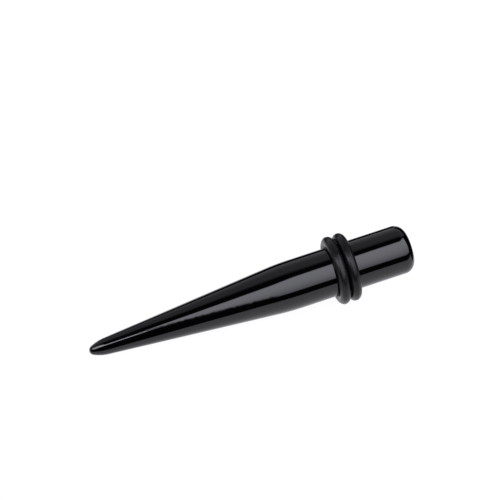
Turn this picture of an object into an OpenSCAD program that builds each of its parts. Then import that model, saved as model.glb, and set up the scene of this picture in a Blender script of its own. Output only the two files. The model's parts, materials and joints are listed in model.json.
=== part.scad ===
// Ear stretching taper with its two O-rings, lying on a flat surface.
// Millimetres, +Z up. The taper points towards -X and its butt end towards +X.
// The origin is below the middle of the whole part, on the surface it lies on.

/* [Shank] */
// Diameter of the straight shank, the gauge that the lobe is stretched to
shank_d = 8; // [6:0.5:12]
// Length of the shank, from the line where the cone meets it to the butt end
shank_l = 21.4; // [18:0.5:30]
// Radius of the rounded edge round the butt end
butt_edge_r = 1.8; // [0.5:0.05:2.4]

/* [Cone] */
// Angle between the side of the cone and the middle line
cone_angle = 5.1; // [3.5:0.1:6]
// Diameter of the cone where the rounded nose begins
cone_small_d = 2.74; // [2.6:0.02:3.2]
// Radius of the soft shoulder between the cone and the shank
shoulder_r = 43; // [20:1:60]

/* [Nose] */
// Length of the rounded nose, from its tip to the straight cone
nose_l = 2.8; // [2.4:0.1:3.6]
// Radius of the very tip
tip_r = 0.8; // [0.5:0.05:0.9]

/* [O-rings] */
// Thickness of the rubber cord that the rings are made of
ring_wire_d = 1.8; // [1.4:0.02:2]
// How much of the cord is pressed flat where it bears on the shank
ring_flat = 0.2; // [0.1:0.01:0.3]
// Angle that the rings stand off square, with their tops towards the butt end
ring_tilt = 2.6; // [0:0.1:3]
// Room between a ring and the shank
ring_clearance = 0.05; // [0.05:0.01:0.1]
// Room between the two rings
ring_gap = 0.04; // [0.02:0.01:0.3]
// Distance from the butt end to the middle of the front ring
ring_from_butt = 12.48; // [9:0.02:14]

/* [Hidden] */
$fn = 96;

shank_r = shank_d / 2;
cone_small_r = cone_small_d / 2;
wire_r = ring_wire_d / 2;

// Along the middle line from the tip: where the cone would meet the shank, and the butt end
shoulder_at = nose_l + (shank_r - cone_small_r) / tan(cone_angle);
taper_l = shoulder_at + shank_l;

// The shoulder arc touches the cone and the shank at the same distance from their meeting line
shoulder_reach = shoulder_r * tan(cone_angle / 2);

// The nose is a small ball at the tip and a wide arc that runs from it into the cone.
// The wide arc touches the cone at the end of the nose, which fixes its radius.
nose_run = nose_l - tip_r;
nose_arc_r = (nose_run ^ 2 + cone_small_r ^ 2 - tip_r ^ 2)
           / (2 * (cone_small_r * cos(cone_angle) - nose_run * sin(cone_angle) - tip_r));
nose_arc_at = nose_l + nose_arc_r * sin(cone_angle);
nose_arc_side = cone_small_r - nose_arc_r * cos(cone_angle);
nose_join_angle = atan2(nose_arc_at - tip_r, -nose_arc_side);

// Half outlines are drawn as [radius, distance from the tip]
tip_centre = [0, tip_r];
nose_join = [tip_r * cos(nose_join_angle), tip_r * (1 - sin(nose_join_angle))];
nose_arc_centre = [nose_arc_side, nose_arc_at];
cone_start = [cone_small_r, nose_l];
cone_end = [shank_r - shoulder_reach * sin(cone_angle), shoulder_at - shoulder_reach * cos(cone_angle)];
shoulder_centre = [shank_r - shoulder_r, shoulder_at + shoulder_reach];
shank_start = [shank_r, shoulder_at + shoulder_reach];
shank_end = [shank_r, taper_l - butt_edge_r];
butt_edge_centre = [shank_r - butt_edge_r, taper_l - butt_edge_r];
butt_rim = [shank_r - butt_edge_r, taper_l];
butt_middle = [0, taper_l];

// A round stretch runs past its neighbours by this angle and stands this much proud of them,
// so that the two always cross cleanly where they touch
past = 3;
proud = 0.0002;

// Places of the rings along the middle line, the radius that a ring is open to inside,
// and the radius that its cord runs at
ring_bore_r = shank_r + ring_clearance;
ring_r = ring_bore_r + wire_r - ring_flat;
ring_front_at = taper_l - ring_from_butt;
ring_rear_at = ring_front_at + ring_wire_d + ring_gap;

// Turn of each ring about the middle line, which puts the seam of its round surface just past the side,
// away from the line that the part lies on
ring_seam_turn = 97;

// The part lies on its nose and on the front ring, so its middle line leans:
// the surface is the common tangent of the wide nose arc and of the ring's cord.
seat_along = ring_front_at - ring_r * sin(ring_tilt) - nose_arc_at;
seat_across = ring_r * cos(ring_tilt) - nose_arc_side;
lean = atan2(seat_across, seat_along) - asin((nose_arc_r - wire_r) / norm([seat_along, seat_across]));

// Place of the tip that puts the nose and the ring on the surface, with the part's box centred
tip_z = nose_arc_r + nose_arc_side * cos(lean) - nose_arc_at * sin(lean);
box_min_x = tip_r * cos(lean) - tip_r;
box_max_x = (taper_l - butt_edge_r) * cos(lean) + (shank_r - butt_edge_r) * sin(lean) + butt_edge_r;
tip_x = -(box_min_x + box_max_x) / 2;

// Stands a shape from the middle line's own frame on the surface as the part lies
module lie_down() {
    translate([tip_x, 0, tip_z])
    rotate([0, 90 - lean, 0])
    children();
}

// Where the line from an arc's centre at an angle leaves the middle line,
// or the centre itself if it lies on the outline's own side
function wedge_root(centre, angle) = centre.x < 0 ? [0, centre.y - centre.x * tan(angle)] : centre;

// The part of a disc between two angles, which are measured from straight outwards to the butt end
module round_stretch(centre, r, from, to) {
    intersection() {
        translate(centre) circle(r);
        polygon([
            wedge_root(centre, from),
            centre + 2 * r * [cos(from), sin(from)],
            centre + 2 * r * [cos(to), sin(to)],
            wedge_root(centre, to)
        ]);
    }
}

// Half outline of the taper, from the tip to the middle of the butt end
module taper_outline() {
    polygon([tip_centre, nose_join, cone_start, cone_end, shank_start, shank_end, butt_rim, butt_middle]);
    round_stretch(tip_centre, tip_r + 2 * proud, -90, past - nose_join_angle);
    round_stretch(nose_arc_centre, nose_arc_r + proud, -nose_join_angle, past - cone_angle);
    round_stretch(shoulder_centre, shoulder_r + proud, -cone_angle - past, past);
    round_stretch(butt_edge_centre, butt_edge_r + proud, -past, 90 + past);
}

// The taper itself, one polished piece
module taper() {
    color("#101014")
    lie_down()
    rotate_extrude()
    taper_outline();
}

// Section of a ring: round cord, flat on its side towards the shank
module ring_section() {
    intersection() {
        translate([ring_r, 0]) circle(wire_r, $fn = 48);
        translate([ring_bore_r, -ring_wire_d]) square([2 * ring_wire_d, 2 * ring_wire_d]);
    }
}

// A rubber ring on the shank, its middle at a distance from the tip
module o_ring(at) {
    lie_down()
    translate([0, 0, at])
    rotate([0, ring_tilt, 0])
    rotate([0, 0, ring_seam_turn])
    rotate_extrude()
    ring_section();
}

// The ring nearer the cone, which the part lies on
module o_ring_front() {
    color("#26262a") o_ring(ring_front_at);
}

// The ring nearer the butt end
module o_ring_rear() {
    color("#26262a") o_ring(ring_rear_at);
}

taper();
o_ring_front();
o_ring_rear();
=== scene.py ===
import json
import math

import bpy
from mathutils import Matrix, Vector


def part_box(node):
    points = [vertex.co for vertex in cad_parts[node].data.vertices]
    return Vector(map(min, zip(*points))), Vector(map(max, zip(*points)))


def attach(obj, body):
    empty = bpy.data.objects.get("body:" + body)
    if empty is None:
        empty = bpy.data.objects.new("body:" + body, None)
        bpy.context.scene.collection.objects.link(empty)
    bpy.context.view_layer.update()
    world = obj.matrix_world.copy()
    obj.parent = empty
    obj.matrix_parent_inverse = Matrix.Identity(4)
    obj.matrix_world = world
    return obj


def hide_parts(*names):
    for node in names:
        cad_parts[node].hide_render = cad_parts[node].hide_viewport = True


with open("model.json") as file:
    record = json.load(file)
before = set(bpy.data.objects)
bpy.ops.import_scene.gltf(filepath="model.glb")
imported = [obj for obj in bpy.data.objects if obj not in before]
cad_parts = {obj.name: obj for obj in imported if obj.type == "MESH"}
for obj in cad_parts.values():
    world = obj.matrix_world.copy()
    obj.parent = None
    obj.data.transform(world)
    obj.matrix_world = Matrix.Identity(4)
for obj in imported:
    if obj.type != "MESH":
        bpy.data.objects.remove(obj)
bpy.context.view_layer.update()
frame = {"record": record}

# A gloss black acrylic ear stretching taper with two rubber O-rings, lying on a light table.
# The pieces are drawn upright in millimetres, then laid down and brought to metres.
# The dictionaries hold millimetres and degrees, and for a noise its scale in a metre, detail and roughness.
mm = 0.001

# Where the taper lies, from the frame: the middle of its butt end, and the way its middle line points
buttMount = next(mount for mount in frame["record"]["mounts"] if mount["name"] == "butt_face")
buttMiddle = Vector(buttMount["pos_m"])
alongTaper = Vector(buttMount["axis"]).normalized()
leanAngle = math.asin(alongTaper.z)


# Handling of objects

seamReach = 1e-4  # points closer than this are one, in millimetres


def pickOnly(piece):
    bpy.ops.object.select_all(action="DESELECT")
    piece.select_set(True)
    bpy.context.view_layer.objects.active = piece


def openMesh(piece, picked=()):  # opens it for editing, with nothing selected but these points
    pickOnly(piece)
    bpy.ops.object.mode_set(mode="EDIT")
    bpy.ops.mesh.select_mode(type="VERT")
    bpy.ops.mesh.select_all(action="DESELECT")
    bpy.ops.object.mode_set(mode="OBJECT")
    for index in picked:
        piece.data.vertices[index].select = True
    bpy.ops.object.mode_set(mode="EDIT")


def closeMesh():
    bpy.ops.object.mode_set(mode="OBJECT")


def nameIt(name):
    piece = bpy.context.object
    piece.name = name
    piece.data.name = name
    return piece


def bakePlace(piece):  # takes the object's place, turn and scale into its mesh
    pickOnly(piece)
    bpy.ops.object.transform_apply(location=True, rotation=True, scale=True)


def spinRound(steps):  # turns the open outline once round Z and closes the seam and the poles
    bpy.ops.mesh.select_all(action="SELECT")
    bpy.ops.mesh.spin(steps=steps, angle=math.tau, center=(0, 0, 0), axis=(0, 0, 1))
    bpy.ops.mesh.select_all(action="SELECT")
    bpy.ops.mesh.remove_doubles(threshold=seamReach)
    bpy.ops.mesh.normals_make_consistent(inside=False)


def layDown(piece, foot, way):  # foot is where the upright piece's Z = 0 goes, and way is where its Z points
    turn = way.to_track_quat("Z", "Y").to_matrix().to_4x4()
    piece.matrix_world = Matrix.Translation(foot) @ turn @ Matrix.Scale(mm, 4)
    bakePlace(piece)


def softenSkin(piece, size, height):  # the soft unevenness of a moulded or polished skin
    clouds = bpy.data.textures.new(piece.name + "Skin", "CLOUDS")
    clouds.noise_scale = size
    clouds.noise_depth = 1
    push = piece.modifiers.new("skin", "DISPLACE")
    push.texture = clouds
    push.texture_coords = "GLOBAL"
    push.strength = height
    push.mid_level = 1.0  # only inwards, so that the piece stays inside its solid
    pickOnly(piece)
    bpy.ops.object.modifier_apply(modifier=push.name)


# Handling of materials

noiseLow, noiseHigh = 0.3, 0.7  # nearly all values of a noise lie between these


def blankMaterial(name):
    material = bpy.data.materials.new(name)
    material.use_nodes = True
    material.node_tree.nodes.clear()
    return material, material.node_tree.nodes, material.node_tree.links


def surfaceNode(nodes, links, kind):  # the one shader of a surface
    shader = nodes.new(kind)
    out = nodes.new("ShaderNodeOutputMaterial")
    links.new(shader.outputs[0], out.inputs["Surface"])
    return shader


def objectCoords(nodes):
    return nodes.new("ShaderNodeTexCoord").outputs["Object"]


def stretched(nodes, links, vector, scale):
    mapping = nodes.new("ShaderNodeMapping")
    mapping.inputs["Scale"].default_value = scale
    links.new(vector, mapping.inputs["Vector"])
    return mapping.outputs["Vector"]


def lengthOf(nodes, links, vector):
    measured = nodes.new("ShaderNodeVectorMath")
    measured.operation = "LENGTH"
    links.new(vector, measured.inputs[0])
    return measured.outputs["Value"]


def partsOf(nodes, links, vector):
    parts = nodes.new("ShaderNodeSeparateXYZ")
    links.new(vector, parts.inputs["Vector"])
    return parts.outputs


def noiseNode(nodes, links, vector, noise):
    node = nodes.new("ShaderNodeTexNoise")
    for socket, value in zip(("Scale", "Detail", "Roughness"), noise):
        node.inputs[socket].default_value = value
    links.new(vector, node.inputs["Vector"])
    return node.outputs["Fac"]


def spread(nodes, links, value, low, high, fromLow=noiseLow, fromHigh=noiseHigh):
    ranged = nodes.new("ShaderNodeMapRange")
    ranged.inputs["From Min"].default_value = fromLow
    ranged.inputs["From Max"].default_value = fromHigh
    ranged.inputs["To Min"].default_value = low
    ranged.inputs["To Max"].default_value = high
    links.new(value, ranged.inputs["Value"])
    return ranged.outputs["Result"]


def twoColours(nodes, links, noise, first, second):
    ramp = nodes.new("ShaderNodeValToRGB")
    for element, place, colour in zip(ramp.color_ramp.elements, (noiseLow, noiseHigh), (first, second)):
        element.position = place
        element.color = (*colour, 1)
    links.new(noise, ramp.inputs["Fac"])
    return ramp.outputs["Color"]


def multiply(nodes, links, first, second):
    product = nodes.new("ShaderNodeMath")
    product.operation = "MULTIPLY"
    links.new(first, product.inputs[0])
    if isinstance(second, (int, float)):
        product.inputs[1].default_value = second
    else:
        links.new(second, product.inputs[1])
    return product.outputs["Value"]


def bump(nodes, links, height, depth, under=None):
    node = nodes.new("ShaderNodeBump")
    node.inputs["Distance"].default_value = depth * mm
    links.new(height, node.inputs["Height"])
    if under is not None:
        links.new(under, node.inputs["Normal"])
    return node.outputs["Normal"]


# The taper

taper = {
    "shankAcross": 8.0,
    "shankLong": 21.4,
    "coneAngle": 5.1,
    "coneSmallAcross": 2.74,                 # where the nose begins
    "shoulderRadius": 43.0,
    "noseLong": 2.8,
    "tipRadius": 0.8,
    "buttEdgeRadius": 1.8,
    "ringStep": 0.16,                        # length between two rings of the mesh on the cone and the shank
    "tipRings": 14,
    "noseRings": 16,
    "buttEdgeRings": 28,
    "buttFaceRings": (0.85, 0.6, 0.3, 0.0),  # as shares of the flat's radius
    "stepsRound": 128,
    "waveHeight": 0.0005,                    # how far the turned surface runs in and out
    "waveSunk": 2,                           # how many of those heights it lies inside the solid
    "waves": ((0.93, 0.4, 0.5), (1.37, 1.9, 0.8), (2.3, 0.7, 1.0)),  # length, start and share of each
    "skinSize": 5.0,
    "skinHeight": 0.004,
}


# An outline's points are [distance from the middle line, distance from the tip].
# An arc's angles run from 90, towards the tip, over 0, straight outwards, to -90.

def arcPoints(centre, radius, first, last, count):  # all but the first point
    angles = [math.radians(first + (last - first) * i / count) for i in range(1, count + 1)]
    return [(centre[0] + radius * math.cos(angle), centre[1] - radius * math.sin(angle)) for angle in angles]


def linePoints(start, end, step):  # all but the first point
    count = round((end[1] - start[1]) / step)
    return [[a + (b - a) * i / count for a, b in zip(start, end)] for i in range(1, count + 1)]


def turnedPoint(point, sizes):  # with the faint rings that turning leaves
    outwards, along = point
    wave = sum(share * math.sin(math.tau * along / length + start)
               for length, start, share in sizes["waves"])
    return (outwards + sizes["waveHeight"] * (wave - sizes["waveSunk"]), along)


def taperOutline(sizes):  # half of it, from the tip to the middle of the butt end
    shankR = sizes["shankAcross"] / 2
    smallR = sizes["coneSmallAcross"] / 2
    tipR, edgeR, shoulderR = sizes["tipRadius"], sizes["buttEdgeRadius"], sizes["shoulderRadius"]
    coneAngle, noseLong, ringStep = sizes["coneAngle"], sizes["noseLong"], sizes["ringStep"]
    slope = math.radians(coneAngle)
    shoulderAt = noseLong + (shankR - smallR) / math.tan(slope)
    total = shoulderAt + sizes["shankLong"]

    # The shoulder's arc touches the cone and the shank at the same distance from their meeting line
    reach = shoulderR * math.tan(slope / 2)
    shoulderCentre = (shankR - shoulderR, shoulderAt + reach)
    shoulderRings = round(2 * reach / ringStep)
    coneEnd = (shankR - reach * math.sin(slope), shoulderAt - reach * math.cos(slope))
    shankStart = (shankR, shoulderAt + reach)
    shankEnd = (shankR, total - edgeR)

    # The nose is a small ball at the tip and a wide arc that runs from it into the cone
    run = noseLong - tipR
    noseR = (run ** 2 + smallR ** 2 - tipR ** 2) / (
        2 * (smallR * math.cos(slope) - run * math.sin(slope) - tipR))
    noseCentre = (smallR - noseR * math.cos(slope), noseLong + noseR * math.sin(slope))
    joinAngle = math.degrees(math.atan2(noseCentre[1] - tipR, -noseCentre[0]))

    nose = arcPoints((0, tipR), tipR, 90, joinAngle, sizes["tipRings"])
    nose += arcPoints(noseCentre, noseR, joinAngle, coneAngle, sizes["noseRings"])
    turned = linePoints((smallR, noseLong), coneEnd, ringStep)
    turned += arcPoints(shoulderCentre, shoulderR, coneAngle, 0, shoulderRings)
    turned += linePoints(shankStart, shankEnd, ringStep)
    butt = arcPoints((shankR - edgeR, shankEnd[1]), edgeR, 0, -90, sizes["buttEdgeRings"])
    butt += [((shankR - edgeR) * share, total) for share in sizes["buttFaceRings"]]
    outline = [(0, 0)] + nose + [turnedPoint(point, sizes) for point in turned] + butt
    return outline, total


def makeTaper(sizes):
    outline, total = taperOutline(sizes)
    bpy.ops.mesh.primitive_plane_add(size=1)
    piece = nameIt("taper_body")
    openMesh(piece)
    bpy.ops.mesh.select_all(action="SELECT")
    bpy.ops.mesh.merge(type="CENTER")  # one point is left, which draws the half outline
    for before, after in zip(outline, outline[1:]):
        step = (after[0] - before[0], 0, after[1] - before[1])
        bpy.ops.mesh.extrude_region_move(TRANSFORM_OT_translate={"value": step})
    spinRound(sizes["stepsRound"])
    closeMesh()
    softenSkin(piece, sizes["skinSize"], sizes["skinHeight"])
    bpy.ops.object.shade_smooth()
    layDown(piece, buttMiddle - alongTaper * total * mm, alongTaper)
    return piece


acrylic = {
    "ior": 1.49,
    "black": (0.0004, 0.0004, 0.0005),
    "cloudy": (0.0010, 0.0010, 0.0012),
    "cloudNoise": (260, 4, 0.5),
    "polish": (0.035, 0.075),            # roughness where best and where worst polished
    "smearNoise": (900, 5, 0.6),
    "smearStretch": (0.35, 1, 1),        # along the taper, and twice across it
    "grooveDepth": 0.0004,
    "grooveNoise": (9000, 3, 0.7),
    "grooveStretch": (1, 0.002, 0.002),
    "hairDepth": 0.00025,
    "hairNoise": (6000, 2, 0.5),
    "hairStretch": (0.06, 1, 1),
}


def taperCoords(nodes, links):  # object coordinates turned so that X runs along the taper
    turned = nodes.new("ShaderNodeMapping")
    turned.inputs["Rotation"].default_value = (0, leanAngle, 0)
    links.new(objectCoords(nodes), turned.inputs["Vector"])
    return turned.outputs["Vector"]


def markNoise(nodes, links, coords, look, mark):  # drawn out along the taper or across it
    drawnOut = stretched(nodes, links, coords, look[mark + "Stretch"])
    return noiseNode(nodes, links, drawnOut, look[mark + "Noise"])


def acrylicMaterial(look):
    material, nodes, links = blankMaterial("glossBlackAcrylic")
    shader = surfaceNode(nodes, links, "ShaderNodeBsdfPrincipled")
    shader.inputs["IOR"].default_value = look["ior"]
    coords = taperCoords(nodes, links)
    cloud = noiseNode(nodes, links, coords, look["cloudNoise"])
    smear = markNoise(nodes, links, coords, look, "smear")
    grooves = markNoise(nodes, links, coords, look, "groove")
    hairs = markNoise(nodes, links, coords, look, "hair")
    links.new(twoColours(nodes, links, cloud, look["black"], look["cloudy"]), shader.inputs["Base Color"])
    links.new(spread(nodes, links, smear, *look["polish"]), shader.inputs["Roughness"])
    grooved = bump(nodes, links, grooves, look["grooveDepth"])
    links.new(bump(nodes, links, hairs, look["hairDepth"], grooved), shader.inputs["Normal"])
    return material


# The O-rings

oRing = {
    "wireAcross": 1.8,
    "pressed": 0.2,              # how much of the cord is flat where it bears on the shank
    "cornerRadius": 0.03,        # at the edges of that flat
    "cornerSteps": 3,
    "tilt": 2.6,                 # off square to the taper, tops towards the butt end
    "flashHeight": 0.03,         # the parting line that the mould leaves, inside and outside
    "flashPoints": (1, 3),       # how many points each of its steps pulls out
    "pointsRound": 96,           # of the cord's section
    "stepsRound": 160,
    "skinSize": 2.2,
    "skinHeight": 0.02,
    "skinShift": 40,             # for each degree of a ring's roll, so that no two have the same skin
}
ringLean = leanAngle - math.radians(oRing["tilt"])  # of the rings' own middle line


def raiseFlash(piece, height, steps):  # pulls out a few points on both sides, which spin into fine ridges
    for side in (1, -1):
        places = [side * point.co.x for point in piece.data.vertices]
        outermost = sorted(range(len(places)), key=lambda index: -places[index])
        for count in steps:
            openMesh(piece, outermost[:count])
            bpy.ops.transform.translate(value=(side * height / len(steps), 0, 0))
            closeMesh()


def pressFlat(piece, at, radius, steps):  # moves the innermost points out to one line and rounds its ends
    inside = [point.index for point in piece.data.vertices if point.co.x < at]
    openMesh(piece, inside)
    bpy.ops.transform.resize(value=(0, 1, 1), center_override=(at, 0, 0))
    closeMesh()
    ends = [pick(inside, key=lambda index: piece.data.vertices[index].co.z) for pick in (min, max)]
    openMesh(piece, ends)
    bpy.ops.mesh.bevel(offset=radius, segments=steps, affect="VERTICES")
    closeMesh()


def makeRing(name, roll, low, high, sizes):  # low and high are the corners of its CAD node's box
    wireR = sizes["wireAcross"] / 2
    ringR = (high - low).y / mm / 2 - wireR
    bpy.ops.mesh.primitive_circle_add(vertices=sizes["pointsRound"], radius=wireR - sizes["flashHeight"],
                                      rotation=(math.pi / 2, 0, 0))
    piece = nameIt(name)
    bakePlace(piece)
    raiseFlash(piece, sizes["flashHeight"], sizes["flashPoints"])
    piece.rotation_euler.y = math.radians(roll)
    bakePlace(piece)
    pressFlat(piece, sizes["pressed"] - wireR, sizes["cornerRadius"], sizes["cornerSteps"])
    piece.location.x = ringR
    bakePlace(piece)
    openMesh(piece)
    spinRound(sizes["stepsRound"])
    closeMesh()
    piece.location.z = sizes["skinShift"] * roll
    bpy.context.view_layer.update()
    softenSkin(piece, sizes["skinSize"], sizes["skinHeight"])
    bpy.ops.object.shade_smooth()
    layDown(piece, (low + high) / 2, Vector((math.cos(ringLean), 0, math.sin(ringLean))))
    return piece


rubber = {
    "ior": 1.34,
    "deep": (0.0008, 0.0008, 0.0010),
    "bloom": (0.0030, 0.0030, 0.0034),
    "bloomNoise": (700, 5, 0.6),
    "roughness": (0.25, 0.40),
    "wipedNoise": (1500, 4, 0.6),
    "grainDepth": 0.002,
    "grainNoise": (9000, 4, 0.6),
    "streakDepth": 0.08,
    "streakNoise": (2600, 2, 0.5),
    "streakRound": 0.05,         # how fast they change round the ring, as a share of that across it
}


def hoopCoords(nodes, links, middle, roundShare):  # along a ring's own middle line, out from it, and round it
    turned = nodes.new("ShaderNodeMapping")
    turned.vector_type = "TEXTURE"
    turned.inputs["Location"].default_value = middle
    turned.inputs["Rotation"].default_value = (0, -ringLean, 0)
    links.new(objectCoords(nodes), turned.inputs["Vector"])
    coords = turned.outputs["Vector"]
    across = stretched(nodes, links, coords, (0, 1, 1))
    parts = partsOf(nodes, links, coords)
    joined = nodes.new("ShaderNodeCombineXYZ")
    links.new(parts["X"], joined.inputs["X"])
    links.new(lengthOf(nodes, links, across), joined.inputs["Y"])
    links.new(multiply(nodes, links, parts["Y"], roundShare), joined.inputs["Z"])
    return joined.outputs["Vector"]


def rubberMaterial(name, middle, look):
    material, nodes, links = blankMaterial(name)
    shader = surfaceNode(nodes, links, "ShaderNodeBsdfPrincipled")
    shader.inputs["IOR"].default_value = look["ior"]
    coords = objectCoords(nodes)
    bloom = noiseNode(nodes, links, coords, look["bloomNoise"])
    wiped = noiseNode(nodes, links, coords, look["wipedNoise"])
    grain = noiseNode(nodes, links, coords, look["grainNoise"])
    hoop = hoopCoords(nodes, links, middle, look["streakRound"])
    streaks = noiseNode(nodes, links, hoop, look["streakNoise"])
    links.new(twoColours(nodes, links, bloom, look["deep"], look["bloom"]), shader.inputs["Base Color"])
    links.new(spread(nodes, links, wiped, *look["roughness"]), shader.inputs["Roughness"])
    streaked = bump(nodes, links, streaks, look["streakDepth"])
    links.new(bump(nodes, links, grain, look["grainDepth"], streaked), shader.inputs["Normal"])
    return material


# Each ring's CAD node, its piece, and how far its parting line has turned about the cord
rings = (("o_ring_front", "ring_front", 14), ("o_ring_rear", "ring_rear", -9))


def finishPiece(piece, material, node):
    piece.data.materials.append(material)
    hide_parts(node)
    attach(piece, "root")


print("taper")
finishPiece(makeTaper(taper), acrylicMaterial(acrylic), "taper")
print("O-rings")
for node, name, roll in rings:
    low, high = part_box(node)
    ring = makeRing(name, roll, low, high, oRing)
    finishPiece(ring, rubberMaterial(name + "Rubber", (low + high) / 2, rubber), node)


# The studio: a light table, two softboxes, a grey wall whose lit look is painted into its glow, a black card,
# and a black bar of painted shade behind the part, in a white room

studio = {
    "tableAcross": 400,
    "tableGlow": 0.96,
    "tablePaint": 0.06,
    "tableRoughness": 0.7,
    "sheenAcross": 800,                  # the table's light as the part mirrors it
    "sheenDrop": 0.01,                   # below the table
    "sheenGlow": 1.033,
    "sheenFade": (250, 400),             # from the middle, where it starts to fade and where it is gone
    "sheenTint": (0.99, 0.985, 1.05),
    "roomAcross": 2800,                  # the white floor and ball round it all, which only the camera sees
    "floorDrop": 0.02,
    "roomGlow": 1.15,
    "lampTint": (0.975, 0.985, 1.08),    # the cool white of the softboxes and the wall
    "discPoints": 128,
    "ballPoints": (64, 32),              # round it and from pole to pole
}

# Facing is the way that a sheet's back looks, and its width runs along acrossLine.
# Edges are the lengths that its light fades over: left, right, low, high.
# Levels are shares of its glow at places between its low edge, 0, and its high one, 1.
sheets = {
    "mainBox": {"place": (160.1, -128.9, 266.3), "facing": (0.352, -0.456, 0.817),
                "acrossLine": (0.902, 0.398, -0.167), "size": (588, 448), "edges": (14, 27, 16, 24),
                "glow": 3.69, "levels": ((0, 0.35), (0.28, 0.72), (0.63, 1), (1, 0.94))},
    "leftBox": {"place": (-511.5, -21.8, 658.7), "facing": (-0.678, -0.725, -0.12),
                "acrossLine": (-0.701, 0.589, 0.402), "size": (702, 723), "edges": (43, 73, 16, 69),
                "glow": 7.41, "levels": ((0, 1), (0.28, 0.953), (0.63, 0.781), (1, 0.719))},
    # The back wall is no lamp: the light that falls on it is painted into its glow and its levels
    "backWall": {"place": (45, 400, 540), "facing": (0, -1, 0),
                 "acrossLine": (1, 0, 0), "size": (1290, 1080), "edges": (1, 1, 1, 600),
                 "glow": 0.69, "levels": ((0, 1), (0.28, 0.381), (0.63, 0.829), (1, 0.488))},
}

cards = {
    "rightCard": {"place": (38, 21, 7), "size": (58, 14), "turn": (90, 0, 90)},
    # The black bar behind the part is painted shade: seen only in reflections, it darkens them as the shaded
    # table behind the part would
    "rearPaintedShade": {"place": (0, 17, 2.78), "size": (60, 9), "turn": (90, -2.46, 0)},
}

sheetHalf = 0.5  # a sheet is a plane one unit wide, so this far from its middle to its edge


def glowSocket(nodes, links, tint=(1, 1, 1)):
    light = surfaceNode(nodes, links, "ShaderNodeEmission")
    light.inputs["Color"].default_value = (*tint, 1)
    return light.inputs["Strength"]


def glowMaterial(name, glow):
    material, nodes, links = blankMaterial(name)
    glowSocket(nodes, links).default_value = glow
    return material


def clothMaterial(name, sheet, tint):  # a lit sheet: softer towards its edges, and brighter where its lamp is
    material, nodes, links = blankMaterial(name)
    parts = partsOf(nodes, links, objectCoords(nodes))
    level = nodes.new("ShaderNodeValToRGB")
    level.color_ramp.interpolation = "B_SPLINE"
    for stop, _ in sheet["levels"][1:-1]:
        level.color_ramp.elements.new(stop)
    for element, (stop, share) in zip(level.color_ramp.elements, sheet["levels"]):
        element.position = stop
        element.color = (share, share, share, 1)
    links.new(spread(nodes, links, parts["Y"], 0, 1, -sheetHalf, sheetHalf), level.inputs["Fac"])
    strength = multiply(nodes, links, level.outputs["Color"], sheet["glow"])
    for axis, length, edges in zip("XY", sheet["size"], (sheet["edges"][:2], sheet["edges"][2:])):
        for border, edge in zip((-sheetHalf, sheetHalf), edges):
            inner = border * (1 - edge / length / sheetHalf)
            fade = spread(nodes, links, parts[axis], 0, 1, border, inner)
            strength = multiply(nodes, links, strength, fade)
    links.new(strength, glowSocket(nodes, links, tint))
    return material


def sheenMaterial(sizes):  # the table's own light, fading with the distance from its middle
    material, nodes, links = blankMaterial("tableSheen")
    near, far = (length * mm for length in sizes["sheenFade"])
    away = lengthOf(nodes, links, objectCoords(nodes))
    fade = spread(nodes, links, away, sizes["sheenGlow"], 0, near, far)
    links.new(fade, glowSocket(nodes, links, sizes["sheenTint"]))
    return material


def tableMaterial(sizes):
    material, nodes, links = blankMaterial("opalTable")
    shader = surfaceNode(nodes, links, "ShaderNodeBsdfPrincipled")
    paint = sizes["tablePaint"]
    shader.inputs["Base Color"].default_value = (paint, paint, paint, 1)
    shader.inputs["Roughness"].default_value = sizes["tableRoughness"]
    shader.inputs["Specular IOR Level"].default_value = 0
    shader.inputs["Emission Color"].default_value = (1, 1, 1, 1)
    shader.inputs["Emission Strength"].default_value = sizes["tableGlow"]
    return material


def putOnStage(name, material, camera=False, diffuse=True, glossy=True, shadow=True):
    # Names the new shape, gives it its material, and sets which kinds of rays meet it
    thing = nameIt(name)
    thing.data.materials.append(material)
    thing.visible_camera = camera
    thing.visible_diffuse = diffuse
    thing.visible_glossy = glossy
    thing.visible_shadow = shadow
    thing.visible_transmission = False


def addDisc(across, points, drop=0):
    bpy.ops.mesh.primitive_circle_add(vertices=points, radius=across / 2 * mm, fill_type="NGON",
                                      location=(0, 0, -drop * mm))


def makeTable(sizes):
    addDisc(sizes["tableAcross"], sizes["discPoints"])
    putOnStage("lightTable", tableMaterial(sizes), camera=True, glossy=False)
    addDisc(sizes["sheenAcross"], sizes["discPoints"], sizes["sheenDrop"])
    putOnStage("tableSheen", sheenMaterial(sizes), diffuse=False, shadow=False)


def makeRoom(sizes):
    white = glowMaterial("whiteRoom", sizes["roomGlow"])
    addDisc(sizes["roomAcross"], sizes["discPoints"], sizes["floorDrop"])
    putOnStage("whiteFloor", white, camera=True, diffuse=False, glossy=False, shadow=False)
    segments, rings = sizes["ballPoints"]
    radius = sizes["roomAcross"] / 2 * mm
    bpy.ops.mesh.primitive_uv_sphere_add(segments=segments, ring_count=rings, radius=radius)
    putOnStage("whiteRoom", white, camera=True, diffuse=False, glossy=False, shadow=False)


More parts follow.
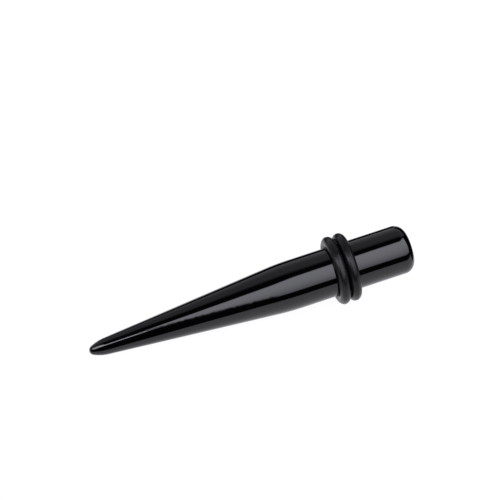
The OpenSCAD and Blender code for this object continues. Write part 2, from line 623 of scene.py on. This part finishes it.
def makeSheet(name, sheet, tint):
    back, across = Vector(sheet["facing"]).normalized(), Vector(sheet["acrossLine"])
    across = (across - across.dot(back) * back).normalized()
    up = back.cross(across)
    wide, high = (length * mm for length in sheet["size"])
    axes = Matrix((across * wide, up * high, back)).transposed().to_4x4()
    bpy.ops.mesh.primitive_plane_add(size=1)
    bpy.context.object.matrix_world = Matrix.Translation(Vector(sheet["place"]) * mm) @ axes
    putOnStage(name, clothMaterial(name + "Cloth", sheet, tint))


def makeCard(name, card):
    wide, high = (length * mm for length in card["size"])
    bpy.ops.mesh.primitive_plane_add(size=1)
    board = bpy.context.object
    board.location = Vector(card["place"]) * mm
    board.rotation_euler = [math.radians(angle) for angle in card["turn"]]
    board.scale = (wide, high, 1)
    putOnStage(name, glowMaterial(name + "Face", 0), diffuse=False, shadow=False)


print("studio")
makeTable(studio)
makeRoom(studio)
for name, sheet in sheets.items():
    makeSheet(name, sheet, studio["lampTint"])
for name, card in cards.items():
    makeCard(name, card)

world = bpy.data.worlds.new("darkStudio")
world.use_nodes = True
world.node_tree.nodes["Background"].inputs["Color"].default_value = (0, 0, 0, 1)
bpy.context.scene.world = world
bpy.context.scene.view_settings.view_transform = "Standard"
bpy.context.scene.view_settings.look = "None"


# The camera, at the photograph's angle

shot = {
    "elevation": 54.0,
    "turn": -17.6,                       # from straight in front towards the nose
    "distance": 220.0,
    "target": (3.529, 11.915, 0.0),
    "lens": 94.65,
    "sensor": 36.0,
    "clip": (10, 10000),                 # the nearest and the furthest that it sees
}


def makeCamera(view):
    up, side = math.radians(view["elevation"]), math.radians(view["turn"])
    back = Vector((math.sin(side) * math.cos(up), -math.cos(side) * math.cos(up), math.sin(up)))
    bpy.ops.object.camera_add()
    camera = bpy.context.object
    camera.name = "camera"
    camera.location = (Vector(view["target"]) + back * view["distance"]) * mm
    camera.rotation_euler = (-back).to_track_quat("-Z", "Y").to_euler()
    camera.data.lens = view["lens"]
    camera.data.sensor_width = view["sensor"]
    camera.data.clip_start, camera.data.clip_end = (length * mm for length in view["clip"])
    bpy.context.scene.camera = camera


print("camera")
makeCamera(shot)
